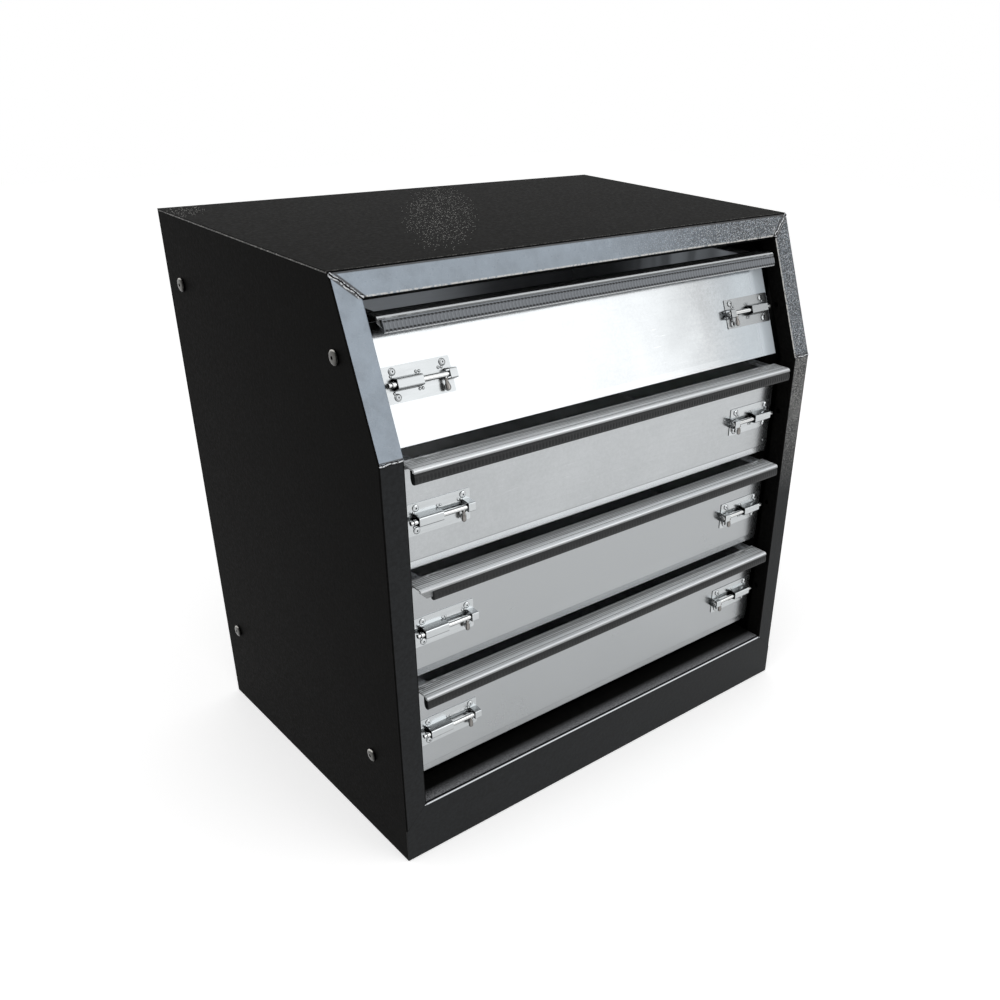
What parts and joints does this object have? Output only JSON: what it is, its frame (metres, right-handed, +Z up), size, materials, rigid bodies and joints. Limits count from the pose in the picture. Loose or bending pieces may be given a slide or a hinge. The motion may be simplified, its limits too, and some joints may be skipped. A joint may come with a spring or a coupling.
{
  "type": "canopy drawer system",
  "caption": "Free-standing steel drawer cabinet for a vehicle canopy, with aluminium drawers on telescopic runners, full-width handles and slide bolts; its upper front leans back.",
  "frame": {"origin": "centre of the bounding box at the underside of the cabinet", "axes": "+Z up, +Y to the back, +X to the right of someone facing the drawers, which open towards -Y"},
  "size_m": [0.8596, 0.6036, 0.875],
  "materials": {
    "black_powder_coat": "fine-textured black powder coat on folded and welded steel sheet",
    "black_uprights": "black powder-coated steel uprights, with stainless bolts and nuts",
    "bright_zinc": "bright zinc-plated rolled steel",
    "mill_aluminium": "mill-finish aluminium sheet with faint rolling lines and scratches",
    "handle_aluminium": "bright extruded aluminium with fine lengthwise ribs",
    "black_rubber": "black rubber with fine cross ribs",
    "stainless_plate": "bright pressed stainless steel",
    "stainless_rod": "polished stainless steel"
  },
  "bodies": {
    "cabinet": {"side_panel_left": "black_powder_coat", "runner_frame_left": "black_uprights", "side_panel_right": "black_powder_coat", "runner_frame_right": "black_uprights", "top_panel": "black_powder_coat", "bottom_panel": "black_powder_coat", "back_panel": "black_powder_coat", "cabinet_slide_1_left": "bright_zinc", "cabinet_slide_1_right": "bright_zinc", "cabinet_slide_2_left": "bright_zinc", "cabinet_slide_2_right": "bright_zinc", "cabinet_slide_3_left": "bright_zinc", "cabinet_slide_3_right": "bright_zinc", "cabinet_slide_4_left": "bright_zinc", "cabinet_slide_4_right": "bright_zinc"},
    "drawer_1": {"drawer_tray_1": "mill_aluminium", "drawer_handle_1": "handle_aluminium", "handle_grip_1": "black_rubber", "drawer_slide_1_left": "bright_zinc", "bolt_plate_1_left": "stainless_plate", "drawer_slide_1_right": "bright_zinc", "bolt_plate_1_right": "stainless_plate"},
    "middle_slides_1": {"middle_slide_1_left": "bright_zinc", "middle_slide_1_right": "bright_zinc"},
    "bolt_1_left": {"bolt_rod_1_left": "stainless_rod"},
    "bolt_1_right": {"bolt_rod_1_right": "stainless_rod"},
    "drawer_2": {"drawer_tray_2": "mill_aluminium", "drawer_handle_2": "handle_aluminium", "handle_grip_2": "black_rubber", "drawer_slide_2_left": "bright_zinc", "bolt_plate_2_left": "stainless_plate", "drawer_slide_2_right": "bright_zinc", "bolt_plate_2_right": "stainless_plate"},
    "middle_slides_2": {"middle_slide_2_left": "bright_zinc", "middle_slide_2_right": "bright_zinc"},
    "bolt_2_left": {"bolt_rod_2_left": "stainless_rod"},
    "bolt_2_right": {"bolt_rod_2_right": "stainless_rod"},
    "drawer_3": {"drawer_tray_3": "mill_aluminium", "drawer_handle_3": "handle_aluminium", "handle_grip_3": "black_rubber", "drawer_slide_3_left": "bright_zinc", "bolt_plate_3_left": "stainless_plate", "drawer_slide_3_right": "bright_zinc", "bolt_plate_3_right": "stainless_plate"},
    "middle_slides_3": {"middle_slide_3_left": "bright_zinc", "middle_slide_3_right": "bright_zinc"},
    "bolt_3_left": {"bolt_rod_3_left": "stainless_rod"},
    "bolt_3_right": {"bolt_rod_3_right": "stainless_rod"},
    "drawer_4": {"drawer_tray_4": "mill_aluminium", "drawer_handle_4": "handle_aluminium", "handle_grip_4": "black_rubber", "drawer_slide_4_left": "bright_zinc", "bolt_plate_4_left": "stainless_plate", "drawer_slide_4_right": "bright_zinc", "bolt_plate_4_right": "stainless_plate"},
    "middle_slides_4": {"middle_slide_4_left": "bright_zinc", "middle_slide_4_right": "bright_zinc"},
    "bolt_4_left": {"bolt_rod_4_left": "stainless_rod"},
    "bolt_4_right": {"bolt_rod_4_right": "stainless_rod"}
  },
  "joints": [
    {"name": "drawer_1_slide", "type": "slide", "parent": "cabinet", "child": "drawer_1", "axis": [0, -1, 0], "range_m": [0, 0.48]},
    {"name": "middle_1_slide", "type": "slide", "parent": "cabinet", "child": "middle_slides_1", "axis": [0, -1, 0], "range_m": [0, 0.24]},
    {"name": "bolt_1_left_slide", "type": "slide", "parent": "drawer_1", "child": "bolt_1_left", "axis": [-1, 0, 0], "range_m": [0, 0.025]},
    {"name": "bolt_1_right_slide", "type": "slide", "parent": "drawer_1", "child": "bolt_1_right", "axis": [1, 0, 0], "range_m": [0, 0.025]},
    {"name": "drawer_2_slide", "type": "slide", "parent": "cabinet", "child": "drawer_2", "axis": [0, -1, 0], "range_m": [0, 0.48]},
    {"name": "middle_2_slide", "type": "slide", "parent": "cabinet", "child": "middle_slides_2", "axis": [0, -1, 0], "range_m": [0, 0.24]},
    {"name": "bolt_2_left_slide", "type": "slide", "parent": "drawer_2", "child": "bolt_2_left", "axis": [-1, 0, 0], "range_m": [0, 0.025]},
    {"name": "bolt_2_right_slide", "type": "slide", "parent": "drawer_2", "child": "bolt_2_right", "axis": [1, 0, 0], "range_m": [0, 0.025]},
    {"name": "drawer_3_slide", "type": "slide", "parent": "cabinet", "child": "drawer_3", "axis": [0, -1, 0], "range_m": [0, 0.48]},
    {"name": "middle_3_slide", "type": "slide", "parent": "cabinet", "child": "middle_slides_3", "axis": [0, -1, 0], "range_m": [0, 0.24]},
    {"name": "bolt_3_left_slide", "type": "slide", "parent": "drawer_3", "child": "bolt_3_left", "axis": [-1, 0, 0], "range_m": [0, 0.025]},
    {"name": "bolt_3_right_slide", "type": "slide", "parent": "drawer_3", "child": "bolt_3_right", "axis": [1, 0, 0], "range_m": [0, 0.025]},
    {"name": "drawer_4_slide", "type": "slide", "parent": "cabinet", "child": "drawer_4", "axis": [0, -1, 0], "range_m": [0, 0.48]},
    {"name": "middle_4_slide", "type": "slide", "parent": "cabinet", "child": "middle_slides_4", "axis": [0, -1, 0], "range_m": [0, 0.24]},
    {"name": "bolt_4_left_slide", "type": "slide", "parent": "drawer_4", "child": "bolt_4_left", "axis": [-1, 0, 0], "range_m": [0, 0.025]},
    {"name": "bolt_4_right_slide", "type": "slide", "parent": "drawer_4", "child": "bolt_4_right", "axis": [1, 0, 0], "range_m": [0, 0.025]}
  ],
  "couplings": [
    {"joint": "middle_1_slide", "follows": "drawer_1_slide", "ratio": 0.5},
    {"joint": "middle_2_slide", "follows": "drawer_2_slide", "ratio": 0.5},
    {"joint": "middle_3_slide", "follows": "drawer_3_slide", "ratio": 0.5},
    {"joint": "middle_4_slide", "follows": "drawer_4_slide", "ratio": 0.5}
  ]
}
